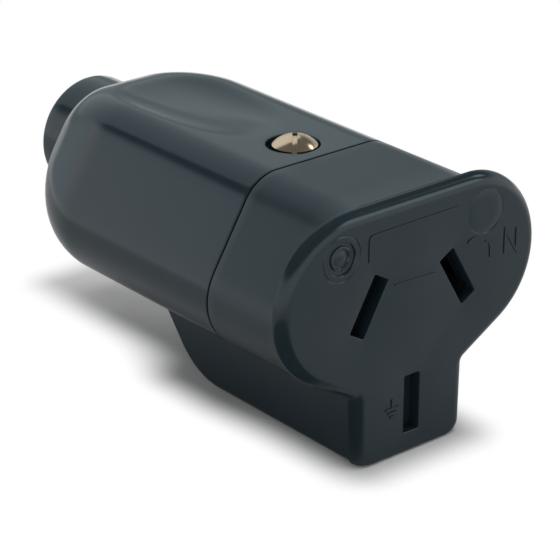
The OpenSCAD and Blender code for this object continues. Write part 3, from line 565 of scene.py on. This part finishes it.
def makeCore():
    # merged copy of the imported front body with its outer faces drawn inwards, so that the new skin covers it and its
    # chambers, tongue, posts and lug stay
    c, flangeY, seamY, bellyZ = core, plate["t"], bodyShape["seamY"], bodyShape["bellyZ"]
    source = nodes["front_body"].data
    points = np.empty(len(source.vertices) * 3)
    source.vertices.foreach_get("co", points)
    corners = np.empty(len(source.polygons) * 3, int)
    source.polygons.foreach_get("vertices", corners)
    keys, back = np.unique(np.round(points.reshape(-1, 3) / mm, c["decimals"]), axis=0, return_inverse=True)
    triangles = back.reshape(-1)[corners.reshape(-1, 3)]
    x, y, z = keys.T.copy()

    def tuck(outline, shrunk, chosen):  # points on the outline move to the same place of the shrunk outline
        apart = np.hypot(x[:, None] - outline[:, 0], z[:, None] - outline[:, 1])
        nearest = apart.argmin(axis=1)
        hit = chosen & (apart[np.arange(len(x)), nearest] < c["reach"])
        x[hit], z[hit] = shrunk[nearest[hit], 0], shrunk[nearest[hit], 1]

    tuck(*faceOutline([0, c["draw"]]), (y > c["loose"]) & (y < flangeY + c["near"]))
    tuck(*faceOutline([plate["edge"], plate["edge"] + c["draw"]]), y < c["loose"])
    tuck(*bodySection([0, 0], [0, c["draw"]], shares(c["steps"]), shares(c["steps"])),
        (y > flangeY - c["loose"]) & (y < seamY + c["near"]) & (z > bellyZ - c["near"]))
    onBox = (y > flangeY - c["near"]) & (z < bellyZ + c["near"]) & (np.abs(x) < box["half"] + c["loose"])
    sideBox = onBox & (np.abs(x) > box["baseHalf"] - box["corner"] - c["loose"])
    underBox = onBox & (z < boxBase(y) + c["underHigh"])
    atSeam = np.abs(y - seamY) < c["near"]
    x[sideBox] *= 1 - c["draw"] / box["half"]
    z[underBox] += c["draw"]
    y[underBox & (y > c["slopeY"])] -= c["slopeBack"]
    y[atSeam] -= c["seamBack"]
    y[np.abs(y - flangeY) < c["flangeNear"]] -= c["flangeBack"]
    y[y < c["faceNear"]] += c["faceBack"]
    for px, pz, lean in slots["places"]:  # slot walls step back from the new slots
        s = math.radians(lean)
        u = (x - px) * math.cos(s) - (z - pz) * math.sin(s)
        v = (x - px) * math.sin(s) + (z - pz) * math.cos(s)
        across, along = slots["width"] / 2 + c["slotNear"], slots["length"] / 2 + c["slotNear"]
        hit = (y < c["slotY"]) & (np.abs(u) < across) & (np.abs(v) < along)
        u[hit] *= c["slotWiden"]
        v[hit] *= c["slotLengthen"]
        x[hit] = px + u[hit] * math.cos(s) + v[hit] * math.sin(s)
        z[hit] = pz - u[hit] * math.sin(s) + v[hit] * math.cos(s)
    return [(np.stack([x, y, z], axis=-1), triangles)]


frontShells = [makePlate(), makeTube(), makeBox(), makeCore()]
makePiece("frontShell", frontShells, bodyNylon, "socket", "front_body", 26)

# cover screw: domed head with a cut slot, and a threaded shank

screw = {
    "underZ": 14.5, "headR": 2.8, "headH": 2.5, "rimH": 1.3, "slotW": 0.6, "slotDeep": 0.42, "slotTurn": -41.0,
    "threadR": 1.5, "threadDeep": 0.22, "pitch": 0.5, "length": 8.0,
    "relief": 0.25, "threadStart": 0.3, "threadStop": 0.5, "tip": 0.3,
    "steps": dict(outside=14, groove=4, chord=32, thread=89),
}


def makeScrew():
    # head top is a grid of chords: x across the slot, y a share of the chord; height is a cap of a ball, lower by the
    # slot's depth between the slot's two sides; the thread's radius is a zigzag of depth over pitch plus the angle
    s, steps = screw, screw["steps"]
    w, r, low, length = s["slotW"] / 2, s["headR"], s["threadR"] - s["threadDeep"], s["length"]
    outside = w + (r - w) * np.sin(quarterTurn(steps["outside"]))
    groove = between(-w, w, steps["groove"])
    chord = np.sin(np.radians(between(-90, 90, steps["chord"])))
    cut = np.concatenate([0 * outside, 0 * groove + 1, 0 * outside])[:, None]
    x = column(np.concatenate([-outside[::-1], groove, outside])) + 0 * chord
    y = chord * np.sqrt(np.maximum(r ** 2 - x ** 2, 0))
    rise = s["headH"] - s["rimH"]
    ball = (r ** 2 + rise ** 2) / (2 * rise)
    dome = s["headH"] - ball + np.sqrt(ball ** 2 - x ** 2 - y ** 2)
    head = np.stack([x, y, dome - s["slotDeep"] * cut], axis=-1)
    loop = np.concatenate([head[:, 0], head[::-1, -1]])
    spin = np.arctan2(loop[:, 1], loop[:, 0])

    def rings(r0, z):  # one circle a row, or a row of radii for the thread; points stand at the head's angles
        r0, z = np.broadcast_arrays(r0, column(z) + 0 * spin)
        return np.stack([r0 * np.cos(spin), r0 * np.sin(spin), z], axis=-1)

    depth = between(s["threadStart"], length - s["threadStop"], steps["thread"])
    crest = np.abs((depth[:, None] / s["pitch"] + spin / (2 * np.pi)) % 1 * 2 - 1)
    body = np.concatenate([loop[None], loop[None] * np.array([1, 1, 0]), rings(s["threadR"], 0),
        rings(low, -s["relief"]), rings(low + s["threadDeep"] * crest, -depth), rings(low, s["tip"] - length),
        rings(low - s["tip"], -length), rings(0, -length)])
    place = np.array([0, hood["screwY"], s["underZ"]])
    a = math.radians(s["slotTurn"])
    turned = np.array([[math.cos(a), math.sin(a), 0], [-math.sin(a), math.cos(a), 0], [0, 0, 1]])
    return [patch(head @ turned + place, closeCols=False), patch(body @ turned + place)]


makePiece("coverScrewHead", [makeScrew()], nickelSteel, "cover_screw", "cover_screw", 30)

# raised moulding on the face

faceRidges = {
    "profile": [(-0.5, 0.3), (-0.36, 0.02), (0, 0), (0.36, 0.02), (0.5, 0.3)],  # share of the width, Y in millimetres
    "leastTurn": 0.35,
    "paths": [  # width of the strip and the places it runs through
        (0.26, [(-7.0, 9.5), (-7.0, 12.1), (-6.9, 12.45), (-6.65, 12.65), (-6.3, 12.7), (6.6, 12.77)]),
        (0.2, [(-3.05, 5.65), (3.1, 5.45)]),
        (0.22, [(8.3, 7.7), (8.75, 8.05), (9.4, 8.12), (10.1, 7.95)]),
        (0.22, [(11.2, 7.2), (11.7, 6.95), (11.95, 6.5), (12.0, 5.0)]),
        (0.42, [(14.4, 4.8), (14.4, 7.7), (16.3, 4.7), (16.3, 7.55)]),
        (0.34, [(-3.1, -8.9), (-3.1, -10.1)]),
        (0.34, [(-4.1, -10.1), (-2.1, -10.1)]),
        (0.32, [(-3.75, -10.65), (-2.45, -10.65)]),
        (0.3, [(-3.4, -11.2), (-2.8, -11.2)]),
    ],
}


def ridge(width, path):
    # low rounded strip: a five-point profile carried along the path, and widened where the path turns so that the
    # strip keeps its width
    path = np.array(path, float)
    step = np.diff(path, axis=0)
    step /= np.linalg.norm(step, axis=1)[:, None]
    onward = np.concatenate([step, step[-1:]])
    ahead = onward + np.concatenate([step[:1], step])
    ahead /= np.linalg.norm(ahead, axis=1)[:, None]
    across = np.stack([-ahead[:, 1], ahead[:, 0]], axis=-1)
    widen = 1 / np.maximum((ahead * onward).sum(axis=1), faceRidges["leastTurn"])
    offset, y = np.array(faceRidges["profile"]).T
    flat = path[:, None] + across[:, None] * (offset * width)[:, None] * widen[:, None, None]
    return [poleEnds(atY(flat, y))]


makePiece("faceRidges", [ridge(*strip) for strip in faceRidges["paths"]], bodyNylon, "socket", None)

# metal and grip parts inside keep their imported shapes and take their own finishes

finishes = {
    "cover_nut": zincSteel, "grip_saddle": gripNylon, "left_grip_screw": zincSteel, "right_grip_screw": zincSteel,
}
for side in ("line", "neutral", "earth"):
    finishes[f"{side}_contact"] = phosphorBronze
    finishes[f"{side}_terminal"] = turnedBrass
    finishes[f"{side}_rivet"] = turnedBrass
    finishes[f"{side}_plate"] = zincSteel
    finishes[f"{side}_screw"] = zincSteel
for name, finish in finishes.items():
    nodes[name].data.materials.clear()
    nodes[name].data.materials.append(finish)
print("inner parts finished")

# floor, light and camera

studio = {
    # floor size, paper colour, and the dark colour of the painted shade that only reflections see
    "floorHalf": 4000.0, "paper": "#F0F0F0", "reflectionShade": "#303030",
    "shadows": [((0.0, 16.4), (7.0, 15.9)), ((0.0, 46.0), (3.4, 20.0))],  # middle and half size of each rectangle
    "shadowEdge": (0.0, 7.0), "shadowBlend": 16.0, "mirrorEdge": (20.0, 300.0),
    # where the painted shade in reflections lies: middle of its round dark patch, outer and inner edge, and how much of
    # it shows all over
    "reflectionShadeMiddle": (-45.0, -18.0), "reflectionShadeEdge": (44.0, 36.0), "reflectionShadeAll": 0.24,
    "horizon": 1.0, "backHorizon": 0.42, "back": (0.64, 0.77, 0.0), "backEdge": (0.45, 0.85),
    "dim": 0.13, "horizonTop": (19.0, 31.0), "daylight": "#EAF8FC",
    "windows": [  # turn from the back and height of the middle, outer and inner edge, all in degrees, and strength
        ((14.0, 36.0), (33.0, 28.5), 0.71),
        ((101.0, 40.0), (9.0, 4.0), 2.6),
        ((138.0, 27.0), (17.0, 9.0), 2.2),
    ],
}
lampTop = {"place": (40, 40, 620), "target": (0, 25, 0), "size": 420, "watts": 1.8}
view = {
    "azimuth": -39.685, "elevation": 24.133, "distance": 260.767, "target": (-20.141, 0, 11.22),
    "focal": 2400, "picture": 560, "sensor": 36, "clip": (0.01, 100),  # focal and picture in pixels, clip in metres
}


def direction(turn, lift):  # way from the origin, turned from the back and lifted from the horizon, in degrees
    turn, lift = math.radians(turn), math.radians(lift)
    return Vector((math.sin(turn) * math.cos(lift), math.cos(turn) * math.cos(lift), math.sin(lift)))


def makeFloor():
    # white paper sweep: under and beside the object it is lit paper that takes the shadow; the camera sees it turn
    # plain white a few millimetres outside the shadow's two blended rectangles, and reflections see it turn so much
    # further off; painted shade shows in reflections alone: a round dark patch at the front left, and a little grey all
    # over
    half, low = studio["floorHalf"], plate["baseZ"]
    corners = np.array([[-half, -half, low], [half, -half, low], [half, half, low], [-half, half, low]]) * mm
    mesh = bpy.data.meshes.new("paperFloor")
    mesh.from_pydata(corners.tolist(), [], [[0, 1, 2, 3]])
    material, tree, output = startMaterial("whitePaperSweep")
    place = addNode(tree, "ShaderNodeTexCoord")
    path = addNode(tree, "ShaderNodeLightPath")
    gaps = []
    for middle, reach in studio["shadows"]:
        away = addNode(tree, "ShaderNodeVectorMath", {"operation": "SUBTRACT"}, {
            0: place.outputs["Object"], 1: Vector((*middle, low)) * mm})
        size = addNode(tree, "ShaderNodeVectorMath", {"operation": "ABSOLUTE"}, {0: away.outputs[0]})
        beyond = addNode(tree, "ShaderNodeVectorMath", {"operation": "SUBTRACT"}, {
            0: size.outputs[0], 1: Vector((*reach, 1)) * mm})
        outside = addNode(tree, "ShaderNodeVectorMath", {"operation": "MAXIMUM"}, {0: beyond.outputs[0], 1: (0, 0, 0)})
        far = addNode(tree, "ShaderNodeVectorMath", {"operation": "LENGTH"}, {0: outside.outputs[0]})
        gaps.append(far.outputs["Value"])
    gap = addNode(tree, "ShaderNodeMath", {"operation": "SMOOTH_MIN"}, {
        0: gaps[0], 1: gaps[1], 2: studio["shadowBlend"] * mm})
    clear, clearFar = [addNode(tree, "ShaderNodeMapRange", {"interpolation_type": "SMOOTHSTEP"}, {
        "Value": gap.outputs[0], "From Min": studio[edge][0] * mm, "From Max": studio[edge][1] * mm}).outputs["Result"]
        for edge in ("shadowEdge", "mirrorEdge")]
    mirrored = addNode(tree, "ShaderNodeMath", {"operation": "MAXIMUM"}, {
        0: path.outputs["Is Glossy Ray"], 1: path.outputs["Is Transmission Ray"]})
    seen = addNode(tree, "ShaderNodeMath", {"operation": "MULTIPLY"}, {0: clear, 1: path.outputs["Is Camera Ray"]})
    seenBack = addNode(tree, "ShaderNodeMath", {"operation": "MULTIPLY"}, {0: clearFar, 1: mirrored.outputs[0]})
    white = addNode(tree, "ShaderNodeMath", {"operation": "MAXIMUM"}, {0: seen.outputs[0], 1: seenBack.outputs[0]})
    # painted shade in reflections: for mirrored rays alone the paper's colour turns dark near a round patch at the
    # front left and a little grey everywhere else
    offShade = addNode(tree, "ShaderNodeVectorMath", {"operation": "DISTANCE"}, {
        0: place.outputs["Object"], 1: Vector((*studio["reflectionShadeMiddle"], low)) * mm})
    darker = addNode(tree, "ShaderNodeMapRange", {"interpolation_type": "SMOOTHSTEP"}, {
        "Value": offShade.outputs["Value"], "From Min": studio["reflectionShadeEdge"][0] * mm,
        "From Max": studio["reflectionShadeEdge"][1] * mm})
    least = addNode(tree, "ShaderNodeMath", {"operation": "MAXIMUM"}, {
        0: darker.outputs["Result"], 1: studio["reflectionShadeAll"]})
    paintedShade = addNode(tree, "ShaderNodeMath", {"operation": "MULTIPLY"}, {0: least.outputs[0], 1: mirrored.outputs[0]})
    tone = addNode(tree, "ShaderNodeMix", {"data_type": "RGBA"}, {
        "Factor": paintedShade.outputs[0], mixFirst: toLinear(studio["paper"]), mixSecond: toLinear(studio["reflectionShade"])})
    paper = addNode(tree, "ShaderNodeBsdfDiffuse", links={"Color": tone.outputs[mixOut]})
    glow = addNode(tree, "ShaderNodeEmission", links={"Color": plainWhite, "Strength": 1.0})
    mix = addNode(tree, "ShaderNodeMixShader", links={0: white.outputs[0], 1: paper.outputs[0], 2: glow.outputs[0]})
    tree.links.new(mix.outputs[0], output.inputs["Surface"])
    mesh.materials.append(material)
    floor = bpy.data.objects.new("paperFloor", mesh)
    scene.collection.objects.link(floor)


def makeWorld():
    # studio walls: white up to a line above the horizon, greyer behind the object, dim overhead, with a big soft
    # window at the back and two small ones at the right, all of it cool daylight in reflections; the camera sees them
    # plain white, and so do reflections of their low part in front
    world = bpy.data.worlds.new("studioWalls")
    scene.world = world
    world.use_nodes = True
    tree = world.node_tree
    tree.nodes.clear()
    low, high = [math.sin(math.radians(a)) for a in studio["horizonTop"]]
    place = addNode(tree, "ShaderNodeTexCoord")
    path = addNode(tree, "ShaderNodeLightPath")
    split = addNode(tree, "ShaderNodeSeparateXYZ", links={0: place.outputs["Generated"]})
    rearward = addNode(tree, "ShaderNodeVectorMath", {"operation": "DOT_PRODUCT"}, {
        0: place.outputs["Generated"], 1: studio["back"]})
    ring = addNode(tree, "ShaderNodeMapRange", {"interpolation_type": "SMOOTHSTEP"}, {
        "Value": rearward.outputs["Value"], "From Min": studio["backEdge"][0], "From Max": studio["backEdge"][1],
        "To Min": studio["horizon"], "To Max": studio["backHorizon"]})
    level = addNode(tree, "ShaderNodeMapRange", {"interpolation_type": "SMOOTHSTEP"}, {
        "Value": split.outputs["Z"], "From Min": low, "From Max": high,
        "To Min": ring.outputs["Result"], "To Max": studio["dim"]})
    light = level.outputs["Result"]
    for middle, edge, strength in studio["windows"]:
        facing = addNode(tree, "ShaderNodeVectorMath", {"operation": "DOT_PRODUCT"}, {
            0: place.outputs["Generated"], 1: direction(*middle)})
        window = addNode(tree, "ShaderNodeMapRange", {"interpolation_type": "SMOOTHSTEP"}, {
            "Value": facing.outputs["Value"], "From Min": math.cos(math.radians(edge[0])),
            "From Max": math.cos(math.radians(edge[1])), "To Min": 0.0, "To Max": strength})
        brighter = addNode(tree, "ShaderNodeMath", {"operation": "MAXIMUM"}, {0: light, 1: window.outputs["Result"]})
        light = brighter.outputs[0]
    white = addNode(tree, "ShaderNodeBackground", links={"Color": plainWhite, "Strength": 1.0})
    under = addNode(tree, "ShaderNodeMath", {"operation": "LESS_THAN"}, {0: split.outputs["Z"], 1: low})
    forward = addNode(tree, "ShaderNodeMath", {"operation": "LESS_THAN"}, {
        0: rearward.outputs["Value"], 1: studio["backEdge"][0]})
    plainSide = addNode(tree, "ShaderNodeMath", {"operation": "MULTIPLY"}, {0: under.outputs[0], 1: forward.outputs[0]})
    mirrored = addNode(tree, "ShaderNodeMath", {"operation": "MAXIMUM"}, {
        0: path.outputs["Is Glossy Ray"], 1: path.outputs["Is Transmission Ray"]})
    cool = addNode(tree, "ShaderNodeMix", {"data_type": "RGBA"}, {
        "Factor": mirrored.outputs[0], mixFirst: plainWhite, mixSecond: toLinear(studio["daylight"])})
    walls = addNode(tree, "ShaderNodeBackground", links={"Color": cool.outputs[mixOut], "Strength": light})
    mirroredLow = addNode(tree, "ShaderNodeMath", {"operation": "MULTIPLY"}, {
        0: mirrored.outputs[0], 1: plainSide.outputs[0]})
    plain = addNode(tree, "ShaderNodeMath", {"operation": "MAXIMUM"}, {
        0: path.outputs["Is Camera Ray"], 1: mirroredLow.outputs[0]})
    mix = addNode(tree, "ShaderNodeMixShader", links={0: plain.outputs[0], 1: walls.outputs[0], 2: white.outputs[0]})
    addNode(tree, "ShaderNodeOutputWorld", links={"Surface": mix.outputs[0]})


def makeLamp():  # square softbox aimed at a point
    lamp = bpy.data.lights.new("softboxTop", "AREA")
    lamp.size = lampTop["size"] * mm
    lamp.energy = lampTop["watts"]
    softbox = bpy.data.objects.new("softboxTop", lamp)
    place, target = Vector(lampTop["place"]), Vector(lampTop["target"])
    softbox.location = place * mm
    softbox.rotation_euler = (target - place).to_track_quat("-Z", "Y").to_euler()
    softbox.visible_glossy = False  # it lights without a mirror image of its own
    scene.collection.objects.link(softbox)


def makeCamera():  # stands at the photograph's place, worked out from the slots' pattern
    camera = bpy.data.objects.new("photoCamera", bpy.data.cameras.new("photoCamera"))
    away = direction(180 - view["azimuth"], view["elevation"])
    camera.location = (Vector(view["target"]) + away * view["distance"]) * mm
    camera.rotation_euler = (-away).to_track_quat("-Z", "Y").to_euler()
    camera.data.lens = view["focal"] / view["picture"] * view["sensor"]
    camera.data.sensor_width = view["sensor"]
    camera.data.clip_start, camera.data.clip_end = view["clip"]
    scene.collection.objects.link(camera)
    scene.camera = camera


makeFloor()
makeWorld()
makeLamp()
makeCamera()
scene.view_settings.view_transform = "Standard"
print("stage set")

bpy.context.view_layer.update()
